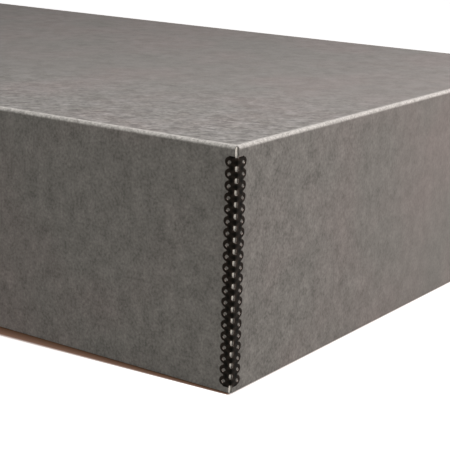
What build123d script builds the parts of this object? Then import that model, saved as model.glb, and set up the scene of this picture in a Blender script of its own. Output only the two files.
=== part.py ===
from build123d import *
from math import cos, radians, sqrt
import os

os.makedirs("parts", exist_ok=True)

# Archive box: a folded tray and a full-depth lid of solid grey board, each held at its
# four corners by a metal edge, a folded strip of thin black steel whose barbs bite the board.
# Long side along X, front towards -Y, +Z up, origin on the floor under the middle of the box.

# Room inside the tray
clear_length = 762.0
clear_width = 457.2
clear_depth = 152.4

# Board
board = 1.5  # thickness of 60-point solid board
fold_round = 2.1  # outside radius of a creased fold
corner_slit = 0.2  # gap between the inner edges of two walls that meet
edge_bevel = 0.35  # crushed outer rim of a die-cut edge

# Lid over tray
slip = 1.5  # running clearance between tray and lid, on each side
lid_foot = 0.3  # the lid's walls end this far above the floor

# Metal edges
steel = 0.3  # thickness of the strip
pitch = 7.25  # from one scallop to the next
leg = 9.5  # width of a leg, from the fold to the flats of its scallops
hole_radius = 1.5  # from the middle of a pierced hole to its points
slot_height = 4.0  # lozenge slot through the fold, measured along the fold
slot_reach = 2.3  # the same slot's reach into each leg
barb_cover = 0.3  # board left between a barb's point and the inner face of its wall
lid_drop = 6.5  # from the lid's top fold down to its metal edges, level with the tray's
bare_end = 3.0  # least wall left bare below the same metal edges

# Sizes that follow
tray_length = clear_length + 2 * board
tray_width = clear_width + 2 * board
tray_height = clear_depth + board
lid_length = tray_length + 2 * (slip + board)
lid_width = tray_width + 2 * (slip + board)
lid_top = tray_height + board
lid_depth = lid_top - lid_foot
lobes = int((lid_depth - lid_drop - bare_end) / pitch)
stay_length = lobes * pitch
stay_foot = lid_top - lid_drop - stay_length
barb_reach = board - barb_cover


def folded_blank(length, width, depth, panel_z, facing):
    """One die-cut blank: a flat panel at panel_z with four walls folded back from it.

    facing is 1 where the panel faces up, as in a lid, and -1 where it faces down.
    Each wall stops short of its neighbours, so a raw edge shows along every corner.
    """
    across = Plane(origin=(0, 0, panel_z), x_dir=(0, 1, 0), z_dir=(facing, 0, 0))
    along = Plane(origin=(0, 0, panel_z), x_dir=(1, 0, 0), z_dir=(0, -facing, 0))
    short_of_corner = board + corner_slit
    with BuildPart() as blank:
        for plane, span, run in ((across, width, length), (along, length, width)):
            with BuildSketch(plane) as section:
                Rectangle(span, depth, align=(Align.CENTER, Align.MAX))
                fillet(section.vertices().group_by(Axis.Y)[-1], fold_round)
                chamfer(section.vertices().group_by(Axis.Y)[0], edge_bevel)
                with Locations((0, -board)):
                    Rectangle(
                        span - 2 * board, depth, align=(Align.CENTER, Align.MAX), mode=Mode.SUBTRACT
                    )
            extrude(amount=run / 2 - short_of_corner, both=True)
    return blank


# Tray and lid
base_board = folded_blank(tray_length, tray_width, tray_height, 0, facing=-1)
base_board.part.label = "base_board"
export_step(base_board.part, "parts/base_board.step")

lid_board = folded_blank(lid_length, lid_width, lid_depth, lid_top, facing=1)
lid_board.part.label = "lid_board"
export_step(lid_board.part, "parts/lid_board.step")

# Metal edge, made once with its fold standing on the origin: one leg runs along -X on the
# front wall and the other, its mirror image, along +Y on the right wall
lobe_radius = pitch / 2
lobe_line = leg - lobe_radius * cos(radians(30))
lobe_heights = [(i + 0.5) * pitch for i in range(lobes)]
slot_heights = [i * pitch for i in range(lobes + 1)]
hole_width = hole_radius * sqrt(3)
barb_drop = hole_radius / 2 + steel

front_wall = Plane(origin=(0, 0, 0), x_dir=(-1, 0, 0), z_dir=(0, 1, 0))
corner_mirror = Plane(origin=(0, 0, 0), z_dir=(1, 1, 0))

with BuildPart() as stay:
    with BuildSketch(front_wall):
        with Locations((-steel, 0)):
            Rectangle(steel + lobe_line, stay_length, align=(Align.MIN, Align.MIN))
        with Locations(*[(lobe_line, h) for h in lobe_heights]):
            RegularPolygon(lobe_radius, 6, rotation=90)
        with Locations(*[(lobe_line, h - hole_radius / 2) for h in lobe_heights]):
            RegularPolygon(
                hole_radius, 3, rotation=90, align=(Align.CENTER, Align.MIN), mode=Mode.SUBTRACT
            )
        # lozenge slots through the fold, half of one at each cut end
        with Locations(*[(-steel, h) for h in slot_heights]):
            Polygon(
                (steel + slot_reach, 0),
                (0, slot_height / 2),
                (-steel - slot_reach, 0),
                (0, -slot_height / 2),
                mode=Mode.SUBTRACT,
            )
    extrude(amount=-steel)
    # a barb, bent in from the foot of each hole and tapering to a point
    with Locations(*[(-lobe_line, 0, h - barb_drop) for h in lobe_heights]):
        Wedge(
            xsize=hole_width,
            ysize=barb_reach,
            zsize=steel,
            xmin=hole_width / 2,
            zmin=steel,
            xmax=hole_width / 2,
            zmax=steel,
            align=(Align.CENTER, Align.MIN, Align.MIN),
        )
    mirror(about=corner_mirror)


def seat_stays(half, length, width):
    """One metal edge on each corner of a half of the box."""
    corners = {
        "front_right": (1, -1, 0),
        "back_right": (1, 1, 90),
        "back_left": (-1, 1, 180),
        "front_left": (-1, -1, 270),
    }
    for corner, (x, y, turn) in corners.items():
        name = f"{half}_stay_{corner}"
        with BuildPart() as seated:
            with Locations(Location((x * length / 2, y * width / 2, stay_foot), (0, 0, turn))):
                add(stay.part)
        seated.part.label = name
        export_step(seated.part, f"parts/{name}.step")


seat_stays("base", tray_length, tray_width)
seat_stays("lid", lid_length, lid_width)
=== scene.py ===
from math import cos, pi, radians, sin

import bmesh
import bpy
import numpy as np
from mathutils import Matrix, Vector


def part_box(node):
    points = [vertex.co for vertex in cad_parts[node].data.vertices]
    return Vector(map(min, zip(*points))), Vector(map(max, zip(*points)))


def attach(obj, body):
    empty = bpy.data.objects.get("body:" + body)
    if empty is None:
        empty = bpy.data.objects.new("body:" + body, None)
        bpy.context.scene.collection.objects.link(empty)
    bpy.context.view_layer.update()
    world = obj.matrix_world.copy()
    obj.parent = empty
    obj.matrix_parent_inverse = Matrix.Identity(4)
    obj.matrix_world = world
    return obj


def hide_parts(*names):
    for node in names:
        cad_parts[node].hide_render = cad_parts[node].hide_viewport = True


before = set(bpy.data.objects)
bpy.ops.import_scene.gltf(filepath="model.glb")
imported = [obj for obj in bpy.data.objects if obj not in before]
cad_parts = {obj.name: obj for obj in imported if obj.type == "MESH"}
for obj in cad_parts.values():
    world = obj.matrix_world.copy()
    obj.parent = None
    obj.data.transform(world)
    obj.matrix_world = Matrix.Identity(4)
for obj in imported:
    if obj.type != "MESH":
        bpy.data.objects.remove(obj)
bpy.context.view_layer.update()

# Tray, under the lid: one die-cut blank of 60-point solid grey board, creased and folded up
# into four walls. Grey paper faces a cream pulp core, which shows only on the die-cut edges.
mm = 0.001  # sizes are in millimetres, and the mesh in metres
board = 1.5
fold_round = 2.1  # outside radius of a creased fold
fold_lines = 7  # mesh lines round that quarter circle
corner_slit = 0.2  # between the inner edges of two walls that meet
crushed = 0.35  # depth of the rounding that the cutting rule leaves on an edge
mesh_step = 8.0  # spacing of the mesh over flat board
foot_line = 1.0  # from the last mesh line of a wall to its foot
rub_up, rub_down = 2.0, 0.5  # how far a crease's rubbing reaches on to the panel and the wall
rub_spread = 1.75  # the more, the wider the part of a crease that is rubbed through
end_splay = 0.45  # how far the inner face of a long wall's end is pushed outward
tool_splay, foot_splay = 0.5, 0.2  # more of it behind the metal edge, from head to foot
tool_from, tool_full = 4.0, 8.0  # where that begins and is full, down the wall from its crease
tool_left, tool_gone = 7.0, 1.0  # where it starts to die out and is gone, up from the foot
crease_draw = 2.2  # extra reach of the walls' ends at the crease, in shares of the rounding
crease_fade = 3.6  # how far down the walls that extra reach dies out
slump = 0.95  # how far the long walls' upper edges sink at mid-length
# the cut edge's profile, row by row: out past the last line, and down through the thickness
rim_out = np.array([0.0, 0.20, 0.32, 0.35, 0.35, 0.35, 0.33, 0.26, 0.0])
rim_down = np.array([0.0, 0.03, 0.10, 0.20, 0.75, 1.38, 1.45, 1.48, 1.5])
raw_rows = range(2, 6)  # rows of that profile between which the pulp shows


def lines_across(half, depth):
    """Lines across a blank from foot to foot, in millimetres from its middle.

    Even steps over the panel up to the notch of the corners, then round the quarter circle
    of the fold, then even steps down the wall. A close pair of lines keeps each edge crisp.
    """
    notch = half - board - corner_slit - crushed
    fold = half - fold_round + fold_round * np.linspace(0, pi / 2, fold_lines + 1)[1:]
    foot = fold[-1] + depth - fold_round - crushed
    panel = np.linspace(0, notch - rub_up, round(notch / mesh_step) + 1)
    wall = np.linspace(fold[-1] + rub_down, foot - foot_line, round(depth / mesh_step) + 1)
    side = np.concatenate([panel, [notch - rub_up / 2, notch], fold, wall, [foot]])
    return np.concatenate([-side[:0:-1], side]), notch, foot


def over_the_fold(s, half):
    """How far out and how far down a line of the blank ends up, and how far it has turned.

    Out grows with s over the panel, follows a quarter circle at the fold, then stands still.
    Down stands still, follows the same quarter circle, then grows with s.
    """
    past = np.abs(s) - (half - fold_round)
    turned = np.clip(past / fold_round, 0, pi / 2)
    out = np.minimum(np.abs(s), half - fold_round) + fold_round * np.sin(turned)
    down = fold_round * (1 - np.cos(turned)) + np.maximum(past - fold_round * pi / 2, 0)
    return np.sign(s) * out, down, np.sign(s) * turned


def slow_waves(x, y):
    """Unevenness of a flat sheet: a sine 295 mm long times one 245 mm long, from 0.4 to 1."""
    return 0.7 + 0.3 * np.sin(x / 47 + 1.1) * np.sin(y / 39 + 0.6)


def place_on_blank(s, t, sunk, size, bow):
    """Points of the folded blank, each sunk below the outer face by the given depth.

    The x and y folds act one after the other, so a point is (out of s, out of t, top minus
    both downs). It is pushed inward along the normal by its depth and by the spring of the
    board, a low arch between the corners with slow waves on it.
    """
    half_x, half_y, depth, top = size
    x, down_x, turn_x = over_the_fold(s, half_x)
    y, down_y, turn_y = over_the_fold(t, half_y)
    normal = np.stack(
        [
            np.sin(turn_x) * np.cos(turn_y),
            np.cos(turn_x) * np.sin(turn_y),
            np.cos(turn_x) * np.cos(turn_y),
        ],
        -1,
    )
    normal /= np.linalg.norm(normal, axis=-1, keepdims=True)
    arch_x, arch_y = 1 - (x / half_x) ** 2, 1 - (y / half_y) ** 2
    tall = np.sin(pi * np.clip((down_x + down_y) / depth, 0, 1))
    arch = np.where(np.abs(turn_x) > np.abs(turn_y), arch_y, arch_x)
    spring = bow * tall * slow_waves(s, t) * arch
    point = np.stack([x, y, -down_x - down_y], -1) - (sunk + spring)[..., None] * normal
    point[..., 2] += top
    return point


def rubbed_crease(out, half):
    """How rubbed a line of the blank is, at this distance out from the middle.

    It is 1 at the middle of the fold's arc and falls off in a straight line on both sides, to
    0 a little way on to the panel and the wall, and below 0 beyond.
    """
    half_arc = fold_round * pi / 4
    off = np.abs(out) - (half - fold_round + half_arc)
    return 1 - np.abs(off) / np.where(off < 0, rub_up + half_arc, rub_down + half_arc)


def folded_board(size, bow):
    """Points, quads, which quads are raw edge, and how worn each point is.

    Two parameters s and t run over the flat blank, whose grid loses its four corners. The
    outer and inner faces are the grid laid over the folds at depth 0 and at the board's
    thickness, and rows of quads round the outline join them along the crushed, cut edge.
    """
    half_x, half_y, depth, _ = size
    s_line, notch_x, foot_x = lines_across(half_x, depth)
    t_line, notch_y, foot_y = lines_across(half_y, depth)
    s, t = (grid.ravel() for grid in np.meshgrid(s_line, t_line, indexing="ij"))
    in_x = np.abs(s_line[:-1] + s_line[1:]) / 2 < notch_x
    in_y = np.abs(t_line[:-1] + t_line[1:]) / 2 < notch_y
    row, column = np.nonzero(in_x[:, None] | in_y[None, :])
    first = row * len(t_line) + column
    face = np.stack([first, first + len(t_line), first + len(t_line) + 1, first + 1], -1)

    # an edge of one quad that no other quad runs back along is part of the outline
    start, end = face.ravel(), np.roll(face, -1, axis=1).ravel()
    outline = ~np.isin(start * len(s) + end, end * len(s) + start)
    start, end = start[outline], end[outline]
    rim, used = np.unique(start), np.unique(face)
    near = 1e-6
    past_x, past_y = np.abs(s) - notch_x, np.abs(t) - notch_y
    long_end = (np.abs(past_x) < near) & (past_y > -near)
    short_end = (np.abs(past_y) < near) & (past_x > -near)
    side_x = (np.abs(s) > foot_x - near) | long_end
    side_y = (np.abs(t) > foot_y - near) | short_end
    # the stretched crease draws the ends of two walls together where they leave the panel
    reach_x = side_x + crease_draw * long_end * np.clip(1 - past_y / crease_fade, 0, 1)
    reach_y = side_y + crease_draw * short_end * np.clip(1 - past_x / crease_fade, 0, 1)
    # the pulp of a long wall's end is splayed outward, most where the metal edge was pressed on
    length = foot_y - notch_y
    pressed = np.clip((past_y - tool_from) / (tool_full - tool_from), 0, 1)
    pressed *= np.clip((length - tool_gone - past_y) / (tool_left - tool_gone), 0, 1)
    pressed *= tool_splay - (tool_splay - foot_splay) * past_y / length
    splay = (end_splay * np.clip(past_y / board, 0, 1) + pressed) * np.sign(s) * long_end

    points, index, count = [], [], 0
    for level, (step_out, step_down) in enumerate(zip(rim_out, rim_down)):
        chosen = used if level in (0, len(rim_out) - 1) else rim
        here = np.full(len(s), -1)
        here[chosen] = count + np.arange(len(chosen))
        count += len(chosen)
        index.append(here)
        moved_s = s[chosen] + np.sign(s[chosen]) * reach_x[chosen] * step_out
        moved_t = t[chosen] + np.sign(t[chosen]) * reach_y[chosen] * step_out
        placed = place_on_blank(moved_s, moved_t, step_down, size, bow)
        placed[:, 0] += splay[chosen] * step_down / board
        points.append(placed)
    quads = [index[0][face], index[-1][face[:, ::-1]]]
    # the ends of the short walls take the grey liner, not the pulp, so they stay darker than the
    # rest
    # # of the rim, which is raw
    pulp = ~(short_end[start] & short_end[end])
    is_raw = [np.zeros(2 * len(face), bool)]
    for level in range(len(rim_out) - 1):
        above, below = index[level], index[level + 1]
        quads.append(np.stack([above[end], above[start], below[start], below[end]], -1))
        is_raw.append(pulp & (level in raw_rows))

    rubbed = np.maximum(
        rubbed_crease(s[used], half_x) * (past_y[used] < near),
        rubbed_crease(t[used], half_y) * (past_x[used] < near),
    )
    worn = np.zeros(count)
    worn[: len(used)] = np.clip(rub_spread * rubbed, 0, 1)
    return np.concatenate(points), np.concatenate(quads), np.concatenate(is_raw), worn


def make_piece(name, points, quads, materials, slot_of_quad, marks):
    """Puts points, in millimetres, and quads into a mesh, with one number per point as marks."""
    mesh = bpy.data.meshes.new(name)
    mesh.from_pydata((points * mm).tolist(), [], quads.tolist())
    for material in materials:
        mesh.materials.append(material)
    mesh.polygons.foreach_set("material_index", slot_of_quad.astype(np.int32))
    mesh.polygons.foreach_set("use_smooth", np.ones(len(quads), bool))
    mark = mesh.attributes.new("worn", "FLOAT", "POINT")
    mark.data.foreach_set("value", marks.astype(np.float32))
    mesh.update()
    piece = bpy.data.objects.new(name, mesh)
    bpy.context.scene.collection.objects.link(piece)
    return piece


def add(material, kind, links=None, **settings):
    """Adds one node. Links are its inputs by name or number, as a value or another's output.

    A Mix node has its factor at 0, its two numbers at 2 and 3 and its two colours at 6 and 7.
    """
    node = material.node_tree.nodes.new("ShaderNode" + kind)
    for key, value in settings.items():
        setattr(node, key, value)
    for key, value in (links or {}).items():
        if isinstance(value, bpy.types.NodeSocket):
            material.node_tree.links.new(value, node.inputs[key])
        else:
            node.inputs[key].default_value = value
    return node


def hex_colour(text):
    """A colour written in sRGB hex as linear red, green, blue and alpha."""
    value = np.array([int(text[i : i + 2], 16) for i in (1, 3, 5)]) / 255
    linear = np.where(value <= 0.04045, value / 12.92, ((value + 0.055) / 1.055) ** 2.4)
    return (*linear.tolist(), 1.0)


def new_material(name):
    """An empty node material with its output node, and that node's surface input."""
    material = bpy.data.materials.new(name)
    material.use_nodes = True
    material.node_tree.nodes.clear()
    return material, add(material, "OutputMaterial").inputs["Surface"]


# Calendered grey liner of recycled-look archival board: matt, with cloudy formation in the
# pulp, short fibres that lie down the walls, and faces rubbed pale where the creases stretch.
# Its fibres, lint and cracks are drawn coarser than real ones, which would be too fine to show.
grey_liner, surface = new_material("grey_liner_paper_calendered")
spot = add(grey_liner, "TexCoord").outputs["Object"]
lengthwise = add(grey_liner, "Mapping", {"Vector": spot, "Scale": (1, 1, 0.85)}).outputs[0]
# the grain is open near the front right corner and pressed flatter away from it: full up to the
# first distance along this line, in metres from the middle, and at its flattest past the second
backward = add(
    grey_liner, "VectorMath", {0: spot, 1: (-0.25, 0.82, 0)}, operation="DOT_PRODUCT"
).outputs["Value"]
open_until, flat_from, flat_grain = -0.258, -0.08, 0.42
grain = add(
    grey_liner,
    "MapRange",
    {
        "Value": backward,
        "From Min": open_until,
        "From Max": flat_from,
        "To Min": 1.0,
        "To Max": flat_grain,
    },
).outputs[0]
flocks = add(
    grey_liner,
    "TexNoise",
    {"Vector": lengthwise, "Scale": 1 / (9 * mm), "Detail": 4.0, "Roughness": 0.62},
).outputs[0]
fibres = add(
    grey_liner,
    "TexNoise",
    {"Vector": lengthwise, "Scale": 1 / (1.7 * mm), "Detail": 2.0, "Roughness": 0.6},
).outputs[0]
flock_share = 0.45
pulp = add(grey_liner, "Math", {0: flocks, 1: flock_share}, operation="MULTIPLY").outputs[0]
pulp = add(
    grey_liner, "Math", {0: fibres, 1: 1 - flock_share, 2: pulp}, operation="MULTIPLY_ADD"
).outputs[0]
cloud = add(grey_liner, "MapRange", {"Value": pulp, "From Min": 0.34, "From Max": 0.66}).outputs[0]
cloud = add(grey_liner, "Mix", {0: grain, 2: 0.5, 3: cloud}).outputs[0]
cool = add(
    grey_liner,
    "Mix",
    {0: cloud, 6: hex_colour("#64625e"), 7: hex_colour("#8c8984")},
    data_type="RGBA",
).outputs[2]
warm = add(
    grey_liner,
    "Mix",
    {0: cloud, 6: hex_colour("#68635f"), 7: hex_colour("#918a86")},
    data_type="RGBA",
).outputs[2]
# warmer towards the back and cooler at the front, with slow drifts between
drifts = add(
    grey_liner, "TexNoise", {"Vector": spot, "Scale": 1 / (90 * mm), "Detail": 2.0}
).outputs[0]
drifts = add(
    grey_liner, "Math", {0: backward, 1: 0.3, 2: drifts}, operation="MULTIPLY_ADD"
).outputs[0]
tint = add(grey_liner, "MapRange", {"Value": drifts, "From Min": 0.38, "From Max": 0.58}).outputs[0]
paper = add(grey_liner, "Mix", {0: tint, 6: cool, 7: warm}, data_type="RGBA").outputs[2]
# a bloom of fine dust, in clouds, on faces that look up. The pale clouds are partly dust and partly
# # a painted sheen, the shine that a calendered top shows when seen at a low angle
normal = add(grey_liner, "NewGeometry").outputs["Normal"]
upward = add(grey_liner, "SeparateXYZ", {0: normal}).outputs[2]
upward = add(
    grey_liner, "MapRange", {"Value": upward, "From Min": 0.5, "From Max": 0.95}
).outputs[0]
dust_and_sheen = add(
    grey_liner,
    "TexNoise",
    {"Vector": spot, "Scale": 1 / (19 * mm), "Detail": 5.0, "Roughness": 0.82},
).outputs[0]
dust_and_sheen = add(
    grey_liner,
    "MapRange",
    {"Value": dust_and_sheen, "From Min": 0.36, "From Max": 0.64, "To Max": 0.5},
).outputs[0]
dust_and_sheen = add(grey_liner, "Mix", {0: grain, 2: 0.12, 3: dust_and_sheen}).outputs[0]
dust_and_sheen = add(grey_liner, "Math", {0: dust_and_sheen, 1: upward}, operation="MULTIPLY").outputs[0]
# the lighter grey on upward faces is dust together with painted sheen
paper = add(
    grey_liner, "Mix", {0: dust_and_sheen, 6: paper, 7: hex_colour("#9d9b99")}, data_type="RGBA"
).outputs[2]
# pale and dark lint on the same faces, felted most at the corner where hands lift the lid, and
# over it all a faint mottle
lint = add(
    grey_liner,
    "Mapping",
    {"Vector": spot, "Rotation": (0, 0, radians(30)), "Scale": (1.6, 0.85, 1)},
    vector_type="TEXTURE",
).outputs[0]
lint = add(
    grey_liner,
    "TexNoise",
    {"Vector": lint, "Scale": 1 / (5 * mm), "Detail": 3.0, "Roughness": 0.75},
).outputs[0]
lint = add(
    grey_liner,
    "MapRange",
    {"Value": lint, "From Min": 0.36, "From Max": 0.64, "To Min": -0.5, "To Max": 0.5},
).outputs[0]
handled = add(
    grey_liner,
    "MapRange",
    {"Value": grain, "From Min": flat_grain, "From Max": 1.0, "To Max": 0.66},
).outputs[0]
handled = add(grey_liner, "Math", {0: handled, 1: upward}, operation="MULTIPLY").outputs[0]
mottle = add(
    grey_liner, "TexNoise", {"Vector": lengthwise, "Scale": 1 / (12 * mm), "Detail": 1.0}
).outputs[0]
mottle = add(
    grey_liner,
    "MapRange",
    {"Value": mottle, "From Min": 0.35, "From Max": 0.65, "To Min": 0.96, "To Max": 1.04},
).outputs[0]
shading = add(
    grey_liner, "Math", {0: lint, 1: handled, 2: mottle}, operation="MULTIPLY_ADD"
).outputs[0]
paper = add(
    grey_liner, "VectorMath", {0: paper, "Scale": shading}, operation="SCALE"
).outputs[0]
# rubbed through in fine cracks along the creases
worn = add(grey_liner, "Attribute", attribute_name="worn").outputs["Fac"]
cracks = add(
    grey_liner,
    "TexNoise",
    {"Vector": spot, "Scale": 1 / (1.6 * mm), "Detail": 3.0, "Roughness": 0.7},
).outputs[0]
cracks = add(
    grey_liner,
    "MapRange",
    {"Value": cracks, "From Min": 0.35, "From Max": 0.65, "To Min": 0.3},
).outputs[0]
rubbed = add(grey_liner, "Math", {0: worn, 1: cracks}, operation="MULTIPLY").outputs[0]
paper = add(
    grey_liner, "Mix", {0: rubbed, 6: paper, 7: hex_colour("#cdcac4")}, data_type="RGBA"
).outputs[2]
relief = add(
    grey_liner, "Bump", {"Strength": 0.22, "Distance": 0.08 * mm, "Height": pulp}
).outputs[0]
shader = add(
    grey_liner,
    "BsdfPrincipled",
    {
        "Base Color": paper,
        "Roughness": 0.78,
        "IOR": 1.5,
        "Specular IOR Level": 0.025,
        "Normal": relief,
    },
)
grey_liner.node_tree.links.new(shader.outputs[0], surface)

# Die-cut edge of the same board: cream pulp in thin plies, torn slightly rough by the rule.
# It is the palest thing on the box, dull and soft, and shows bright through the slots.
raw_core, surface = new_material("cream_pulp_core_die_cut")
spot = add(raw_core, "TexCoord").outputs["Object"]
tufts = add(
    raw_core,
    "TexNoise",
    {"Vector": spot, "Scale": 1 / (0.7 * mm), "Detail": 3.0, "Roughness": 0.7},
).outputs[0]
pulp = add(raw_core, "MapRange", {"Value": tufts, "From Min": 0.3, "From Max": 0.7}).outputs[0]
pulp = add(
    raw_core,
    "Mix",
    {0: pulp, 6: hex_colour("#efe6d8"), 7: hex_colour("#fffcf6")},
    data_type="RGBA",
).outputs[2]
relief = add(
    raw_core, "Bump", {"Strength": 0.6, "Distance": 0.1 * mm, "Height": tufts}
).outputs[0]
shader = add(
    raw_core,
    "BsdfPrincipled",
    {"Base Color": pulp, "Roughness": 0.9, "Specular IOR Level": 0.2, "Normal": relief},
)
raw_core.node_tree.links.new(shader.outputs[0], surface)


def make_board(name, node, body, faces_up, bow, belly):
    """A folded board as large as its CAD node, standing for it and riding on its body.

    Its walls spring inward by the bow. Its long walls also sink, in a low arch that dies out
    at the floor, and a panel held up between them bellies further, with the same slow waves.
    Returns half its length, half its width, its depth and the height of its top.
    """
    low, high = (np.array(corner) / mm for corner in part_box(node))
    size = (high[0], high[1], high[2] - low[2], high[2])
    points, quads, is_raw, marks = folded_board(size, bow)
    if not faces_up:
        points[:, 2] = high[2] + low[2] - points[:, 2]
        quads = quads[:, ::-1]
    x, y, z = points.T
    arch_x, arch_y = 1 - (x / high[0]) ** 2, 1 - (y / high[1]) ** 2
    sag = arch_x * (slump + belly * arch_y**2 * slow_waves(x, y))
    points[:, 2] -= sag * np.clip(z / high[2], 0, 1)
    piece = make_piece(name, points, quads, [grey_liner, raw_core], is_raw, marks)
    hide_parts(node)
    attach(piece, body)
    return size


tray_size = make_board(
    "tray_folded_board", "base_board", "tray", faces_up=False, bow=0.3, belly=0.0
)

# Metal edges of the tray: thin steel strip, enamelled black, folded over each corner. Every
# lobe is pierced, and its barb is driven inward at the hole's foot until it grips the board.
steel = 0.3
shown_steel = 0.28  # a hair thinner, so that the strip's inner face stays off the board
pitch = 7.25  # from lobe to lobe
lobes = 20
lobe_line = 6.65  # from the fold's outer corner to the line of the pierced holes
lobe_radius = 3.15
valley_line = 6.9  # bottom of the notch between two lobes
bridge = 2.0  # half of the metal left between two slots
slot_reach = 1.65  # of a slot, from the same corner
slot_round = 0.95  # radius of a slot's rounded ends
head_fill = 0.6  # how much of the last slot's depth the metal fills at the strip's head
hole_radius = 1.25
hole_form = 1.6  # 1 would make the holes lozenges, and 2 circles
shoulder = 1.22  # where a hole's dishing begins, in hole radii
lip_push = 0.3  # how far a hole's upper lip is pushed in over it, in hole radii
dish, barb_dish = 0.30, 0.26  # how deep a hole's rim is dished, and where its barb leaves it
shoulder_dish, edge_roll = 0.03, 0.06  # how deep the shoulder and the cut edge lie
bend_radius = 0.75
short_leg = 0.8  # how much shorter one leg is, folded a little off the strip's middle
short_over = 1.5  # how far past the slots that difference is made up
hair = 0.01  # points nearer than this count as one


def lobe_outline():
    """Outline of one lobe with its share of the strip, from the lobe's tip round to the fold.

    It follows the round lobe, the narrow notch beside it, the joint to the next lobe, the
    rounded slot and the fold, and comes back mirrored. Each row is (out from the fold, up
    from the lobe's middle, 1 where the metal ends there).
    """
    a = np.radians([0, 20, 40, 60, 76])
    round_lobe = [lobe_line + lobe_radius * np.cos(a), lobe_radius * np.sin(a), np.ones_like(a)]
    notch = [(valley_line + 0.13, 3.30, 1), (valley_line, pitch / 2, 1)]
    joint = [(5.3, pitch / 2, 0), (3.8, pitch / 2, 0), (slot_reach, pitch / 2, 1)]
    a = np.radians([0, 35, 60, 90])
    inward, upward = slot_round * (1 - np.cos(a)), slot_round * (1 - np.sin(a))
    round_slot = [slot_reach - inward, bridge + upward, np.ones_like(a)]
    fold = [(0.4, bridge, 1), (0.0, bridge, 1), (0.0, bridge / 2, 0), (0.0, 0.0, 0)]
    half = np.concatenate([np.transpose(round_lobe), notch, joint, np.transpose(round_slot), fold])
    return np.concatenate([half, half[-2:0:-1] * (1, -1, 1)])


def bend_over_corner(across, depth):
    """Carries distance across the strip over the corner of the box, at a depth in from its face.

    Beyond the bend radius it runs straight along either wall. Inside it, it follows a quarter
    circle that is tangent to both. The corner of the outer faces is at the origin.
    """
    turn = np.clip(across / bend_radius, -1, 1) * pi / 4 + pi / 4
    beyond = np.abs(across) - bend_radius
    inward = bend_radius - depth
    x = -bend_radius + inward * np.sin(turn) - np.where(across < -bend_radius, beyond, 0)
    y = bend_radius - inward * np.cos(turn) + np.where(across > bend_radius, beyond, 0)
    return x, y


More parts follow.
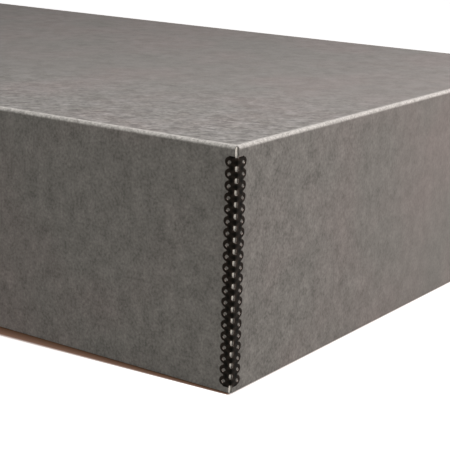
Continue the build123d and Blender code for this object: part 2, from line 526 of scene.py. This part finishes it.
def pierced_strip():
    """The strip's outer face: points, quads, which quads are bare steel, how thin the coat is.

    Each lobe is a ring: one parameter goes round its outline, the other from the pierced hole
    out to the outline, where the metal dishes inward. The barb is a narrowing strip that
    leaves the foot of the ring and turns into the board. Lobes repeat up both legs.
    """
    outline = lobe_outline()
    out, up, free = outline.T
    angle = np.arctan2(up, out - lobe_line)
    # a superellipse, so that the hole is rounded and still a little pointed
    hole = np.abs(np.cos(angle)) ** hole_form + np.abs(np.sin(angle)) ** hole_form
    hole = hole_radius * hole ** (-1 / hole_form)
    around = np.stack([lobe_line + hole * np.cos(angle), hole * np.sin(angle)], -1)
    centre = np.array([lobe_line, 0.0])
    shoulder_ring = centre + shoulder * (around - centre)
    # the upper lip of the hole is pushed further in than the rest
    lip = 1 - lip_push * np.clip(np.sin(angle), 0, 1)
    around = centre + (around - centre) * lip[:, None]
    edge = outline[:, :2]
    # a ring two thirds of the way out, whose points near the fold keep clear of the bend
    middle = 0.35 * shoulder_ring + 0.65 * edge
    middle[:, 0] = np.where(edge[:, 0] < 1.0, 0.95, middle[:, 0])
    rings = np.stack([around, shoulder_ring, middle, edge])
    foot = np.nonzero((angle < radians(-35)) & (angle > radians(-130)))[0]
    dished = np.full(len(outline), dish)
    dished[foot] = barb_dish
    sunk = np.stack([dished, 0 * free + shoulder_dish, 0 * free, edge_roll * free])
    # the coat is thinnest at the hole's rim and along the sheared outline
    worn = np.stack([0 * free + 1, 0 * free + 0.4, 0.4 * free, free])
    index = np.arange(sunk.size).reshape(sunk.shape)
    after = np.roll(index, -1, axis=1)
    quads = np.stack([index[:-1], index[1:], after[1:], after[:-1]], -1).reshape(-1, 4)

    # the barb narrows, lies a little above the foot of the hole and dives into the board
    root = around[foot]
    narrow, level, rise, dive = np.array(
        [[0.96, 0.9, 0.6, 0.14], [0.4, 0.8, 1, 1], [0.2, 0.34, 0.38, 0.36], [0.18, 0.42, 0.9, 1.4]]
    )[..., None]
    blade_out = lobe_line + (root[:, 0] - lobe_line) * narrow
    blade_up = root[:, 1] * (1 - level) + root[:, 1].min() * level + rise
    blades = np.stack([blade_out, blade_up], -1)
    drive = np.broadcast_to(dive, blade_out.shape)
    fresh = index.size + np.arange(drive.size).reshape(drive.shape)
    steps = np.vstack([index[0, foot], fresh])
    barb = np.stack([steps[:-1, :-1], steps[:-1, 1:], steps[1:, 1:], steps[1:, :-1]], -1)
    barb = barb.reshape(-1, 4)
    flat = np.concatenate([rings.reshape(-1, 2), blades.reshape(-1, 2)])
    sunk = np.concatenate([sunk.ravel(), drive.ravel()])
    worn = np.concatenate([worn.ravel(), np.ones(drive.size)])
    # the coat has cracked off along the outer half of the lip where the barb bends in
    bent = np.nonzero((angle < radians(-10)) & (angle > radians(-90)))[0]
    cracked = np.isin(quads, index[0, bent]).sum(1) == 2
    sheared = np.concatenate([cracked, np.zeros(len(barb), bool)])
    quads = np.concatenate([quads, barb])

    z = (np.arange(lobes)[:, None] + 0.5) * pitch + flat[:, 1]
    # at the head of the strip the shears left a shallower slot
    head = (flat[:, 0] < slot_reach + hair) & (flat[:, 1] > bridge - hair)
    z[-1] += head_fill * head * (pitch / 2 - flat[:, 1])
    points, faces = [], []
    for leg, below in ((1, 0), (-1, lobes)):
        shorter = short_leg * (leg == -1) * np.clip((flat[:, 0] - slot_reach) / short_over, 0, 1)
        x, y = bend_over_corner(leg * (flat[:, 0] - shorter), sunk)
        points.append(np.stack(np.broadcast_arrays(x, y, z), -1).reshape(-1, 3))
        first = len(flat) * (below + np.arange(lobes))
        turned = quads if leg == 1 else quads[:, ::-1]
        faces.append((turned[None] + first[:, None, None]).reshape(-1, 4))
    every = 2 * lobes
    return (
        np.concatenate(points),
        np.concatenate(faces),
        np.tile(sheared, every),
        np.tile(worn, every),
    )


# Baked black enamel over cold-rolled strip: near black and smooth, faintly orange-peeled, and
# thinner and browner along the sheared edges, which gives each lobe a soft brown outline.
enamel, surface = new_material("black_baked_enamel_on_steel")
spot = add(enamel, "TexCoord").outputs["Object"]
peel = add(enamel, "TexNoise", {"Vector": spot, "Scale": 1 / (1.1 * mm), "Detail": 2.0}).outputs[0]
scuffs = add(
    enamel,
    "TexNoise",
    {"Vector": spot, "Scale": 1 / (3.5 * mm), "Detail": 4.0, "Roughness": 0.7},
).outputs[0]
thin = add(enamel, "Attribute", attribute_name="worn").outputs["Fac"]
thin = add(enamel, "Math", {0: thin, 1: scuffs}, operation="MULTIPLY").outputs[0]
coat = add(
    enamel,
    "Mix",
    {0: thin, 6: hex_colour("#100f0c"), 7: hex_colour("#483e37")},
    data_type="RGBA",
).outputs[2]
gloss = add(
    enamel,
    "MapRange",
    {"Value": scuffs, "From Min": 0.3, "From Max": 0.7, "To Min": 0.18, "To Max": 0.34},
).outputs[0]
relief = add(enamel, "Bump", {"Strength": 0.25, "Distance": 0.04 * mm, "Height": peel}).outputs[0]
shader = add(
    enamel,
    "BsdfPrincipled",
    {
        "Base Color": coat,
        "Roughness": gloss,
        "IOR": 1.5,
        "Specular IOR Level": 0.012,
        "Normal": relief,
    },
)
enamel.node_tree.links.new(shader.outputs[0], surface)

# Steel where the punch and the shears went through the coat: browned, thinly oiled metal,
# whose burrs give small glints at the lips of the holes.
sheared_steel, surface = new_material("sheared_steel_browned")
spot = add(sheared_steel, "TexCoord").outputs["Object"]
burrs = add(
    sheared_steel, "TexNoise", {"Vector": spot, "Scale": 1 / (0.5 * mm), "Detail": 2.0}
).outputs[0]
brown = add(
    sheared_steel,
    "Mix",
    {0: burrs, 6: hex_colour("#4c423c"), 7: hex_colour("#a39890")},
    data_type="RGBA",
).outputs[2]
relief = add(
    sheared_steel, "Bump", {"Strength": 0.8, "Distance": 0.12 * mm, "Height": burrs}
).outputs[0]
shader = add(
    sheared_steel,
    "BsdfPrincipled",
    {"Base Color": brown, "Metallic": 1.0, "Roughness": 0.16, "Normal": relief},
)
sheared_steel.node_tree.links.new(shader.outputs[0], surface)

strip_points, strip_quads, strip_sheared, strip_worn = pierced_strip()
corners = {
    "front_right": (1, -1),
    "back_right": (1, 1),
    "back_left": (-1, 1),
    "front_left": (-1, -1),
}


def seat_metal_edges(half, body, size):
    """Sets a copy of the strip on each corner of one half, turned by quarter turns."""
    local = strip_points + (steel, -steel, 0)
    for corner, (x, y) in corners.items():
        node = f"{half}_stay_{corner}"
        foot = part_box(node)[0].z / mm
        piece = make_piece(
            f"{half}_metal_edge_{corner}",
            local + (x * size[0], y * size[1], foot),
            strip_quads,
            [enamel, sheared_steel],
            strip_sheared,
            strip_worn,
        )
        # the lobes share their joints and the legs their fold, which are sewn together here
        sewn = bmesh.new()
        sewn.from_mesh(piece.data)
        bmesh.ops.remove_doubles(sewn, verts=sewn.verts, dist=hair * mm)
        sewn.to_mesh(piece.data)
        sewn.free()
        gauge = piece.modifiers.new("strip_thickness", "SOLIDIFY")
        gauge.thickness = shown_steel * mm
        gauge.offset = -1
        gauge.material_offset_rim = 1
        even = piece.modifiers.new("flat_legs", "WEIGHTED_NORMAL")
        even.weight = 80
        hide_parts(node)
        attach(piece, body)
        local = local[:, [1, 0, 2]] * (-1, 1, 1)


seat_metal_edges("base", "tray", tray_size)

# Lid: a second blank of the same board, folded down to the floor over the tray on all sides.
# Its panel bellies under its own weight, and the raw ends of its walls show at each corner.
lid_size = make_board(
    "lid_folded_board", "lid_board", "lid", faces_up=True, bow=0.45, belly=0.8
)

# Metal edges of the lid, the same strip as the tray's and level with it.
seat_metal_edges("lid", "lid", lid_size)

# Studio: a wide pale floor that goes to white away from the box, with a brown contact shadow
# painted into it round the box's foot, three round softboxes, one overhead, one raised on the right
# and one in front, and an even pale room round them.
sweep, surface = new_material("white_paper_sweep")
spot = add(sweep, "TexCoord").outputs["Object"]
apart = add(sweep, "SeparateXYZ", {0: spot}).outputs
# how far out past the foot of the box, later in widths of the painted shadow there
beyond_x = add(sweep, "Math", {0: apart[0]}, operation="ABSOLUTE").outputs[0]
beyond_x = add(sweep, "Math", {0: beyond_x, 1: lid_size[0] * mm}, operation="SUBTRACT").outputs[0]
beyond_y = add(sweep, "Math", {0: apart[1]}, operation="ABSOLUTE").outputs[0]
beyond_y = add(sweep, "Math", {0: beyond_y, 1: lid_size[1] * mm}, operation="SUBTRACT").outputs[0]
# the painted shadow is narrow beside the short walls. Beside the long ones it widens from the right
# hand corner to a fifth of a metre further in, and then keeps its width.
end_shade, corner_shade, wide_shade = 2.4, 2.8, 17.4
corner_x, wide_x = 0.385, 0.18  # metres
width = add(
    sweep,
    "MapRange",
    {
        "Value": apart[0],
        "From Min": corner_x,
        "From Max": wide_x,
        "To Min": corner_shade * mm,
        "To Max": wide_shade * mm,
    },
).outputs[0]
beyond_y = add(sweep, "Math", {0: beyond_y, 1: width}, operation="DIVIDE").outputs[0]
beyond_x = add(sweep, "Math", {0: beyond_x, 1: end_shade * mm}, operation="DIVIDE").outputs[0]
beyond = add(sweep, "Math", {0: beyond_x, 1: beyond_y}, operation="MAXIMUM").outputs[0]
away_y = add(
    sweep,
    "MapRange",
    {"Value": beyond_y, "From Min": 0.6, "From Max": 1.04},
    interpolation_type="SMOOTHSTEP",
).outputs[0]
away_x = add(sweep, "MapRange", {"Value": beyond_x, "From Min": -0.7, "From Max": 1.0}).outputs[0]
away = add(sweep, "Math", {0: away_x, 1: away_y}, operation="MAXIMUM").outputs[0]
# painted shadow: dark brown against the box's foot, lighter brown at its outer edge
painted_shadow = add(
    sweep, "Mix", {0: beyond, 6: hex_colour("#5f4737"), 7: hex_colour("#a38270")}, data_type="RGBA"
).outputs[2]
tone = add(
    sweep, "Mix", {0: away, 6: painted_shadow, 7: hex_colour("#f4f2f0")}, data_type="RGBA"
).outputs[2]
lit = add(sweep, "BsdfDiffuse", {"Color": tone}).outputs[0]
white = hex_colour("#ffffff")
glow = add(sweep, "Math", {0: away, 1: 0.75}, operation="MULTIPLY").outputs[0]
glowing = add(sweep, "Emission", {"Color": white, "Strength": glow}).outputs[0]
shown = add(sweep, "AddShader", {0: lit, 1: glowing}).outputs[0]
bounced = add(sweep, "BsdfDiffuse", {"Color": hex_colour("#d1d0cb")}).outputs[0]
# the camera and reflections see the glowing floor, and the box gets a plain bounce from it
rays = add(sweep, "LightPath").outputs
seen = rays["Is Camera Ray"]
for kind in ("Is Glossy Ray", "Is Transmission Ray"):
    seen = add(sweep, "Math", {0: seen, 1: rays[kind]}, operation="MAXIMUM").outputs[0]
mixed = add(sweep, "MixShader", {0: seen, 1: bounced, 2: shown}).outputs[0]
sweep.node_tree.links.new(mixed, surface)

reach = 15  # metres
floor_mesh = bpy.data.meshes.new("studio_floor")
floor_corners = [(-reach, -reach, 0), (reach, -reach, 0), (reach, reach, 0), (-reach, reach, 0)]
floor_mesh.from_pydata(floor_corners, [], [(0, 1, 2, 3)])
floor_mesh.materials.append(sweep)
floor = bpy.data.objects.new("studio_floor", floor_mesh)
bpy.context.scene.collection.objects.link(floor)

room = bpy.data.worlds.new("pale_room")
bpy.context.scene.world = room
room.use_nodes = True
room.node_tree.nodes.clear()
rays = add(room, "LightPath").outputs
seen = rays["Is Camera Ray"]
for kind in ("Is Glossy Ray", "Is Transmission Ray"):
    seen = add(room, "Math", {0: seen, 1: rays[kind]}, operation="MAXIMUM").outputs[0]
room_light = 0.27  # what reaches the box, where 1 is what the camera sees
level = add(room, "MapRange", {"Value": seen, "To Min": room_light}).outputs[0]
sky = add(room, "Background", {"Color": white, "Strength": level}).outputs[0]
room.node_tree.links.new(sky, add(room, "OutputWorld").inputs["Surface"])


def softbox(name, aim, swing, height, distance, size, watts, colour):
    """A round softbox aimed at a point, from a bearing off +X and a height in degrees.

    Its place is the aim plus the distance times the direction of those two angles. Metres.
    """
    data = bpy.data.lights.new(name, "AREA")
    data.shape = "DISK"
    data.size = size
    data.energy = watts
    data.color = colour
    lamp = bpy.data.objects.new(name, data)
    bpy.context.scene.collection.objects.link(lamp)
    across, aim = radians(swing), Vector(aim)
    level = cos(radians(height))
    lamp.location = aim + distance * Vector(
        (level * cos(across), level * sin(across), sin(radians(height)))
    )
    lamp.visible_camera = False
    lamp.rotation_mode = "QUATERNION"
    lamp.rotation_quaternion = (aim - lamp.location).to_track_quat("-Z", "Y")


softbox(
    "overhead_softbox",
    aim=(0.385, -0.31, 0.1),
    swing=16,
    height=84,
    distance=1.07,
    size=0.45,
    watts=7.5,
    colour=(1.0, 0.975, 0.98),
)
softbox(
    "right_softbox",
    aim=(0.385, 0.077, 0.08),
    swing=33,
    height=38,
    distance=0.81,
    size=0.5,
    watts=5.5,
    colour=(1.0, 0.935, 0.955),
)
softbox(
    "front_softbox",
    aim=(0.3, -0.233, 0.08),
    swing=-50,
    height=25,
    distance=1.8,
    size=0.9,
    watts=4.4,
    colour=(1.0, 0.98, 0.96),
)

# Camera: a short telephoto near the front right corner, looking down a little, turned a
# degree and a half anticlockwise as the picture is. Its lens and sensor are in millimetres.
bearing, dip, roll = radians(34.921), radians(14.993), radians(1.566)
forward = np.array([-sin(bearing) * cos(dip), cos(bearing) * cos(dip), -sin(dip)])
level_right = np.array([cos(bearing), sin(bearing), 0])
level_up = np.cross(level_right, forward)
right = cos(roll) * level_right + sin(roll) * level_up
up = -sin(roll) * level_right + cos(roll) * level_up
eye = np.array([832.7, -884.5, 319.1]) * mm
camera_data = bpy.data.cameras.new("camera")
camera_data.sensor_width = 36
camera_data.lens = 110.07
camera_data.clip_start, camera_data.clip_end = 0.05, 60
camera = bpy.data.objects.new("camera", camera_data)
bpy.context.scene.collection.objects.link(camera)
camera.matrix_world = Matrix(
    [[right[i], up[i], -forward[i], eye[i]] for i in range(3)] + [[0, 0, 0, 1]]
)
bpy.context.scene.camera = camera
bpy.context.scene.view_settings.view_transform = "Standard"
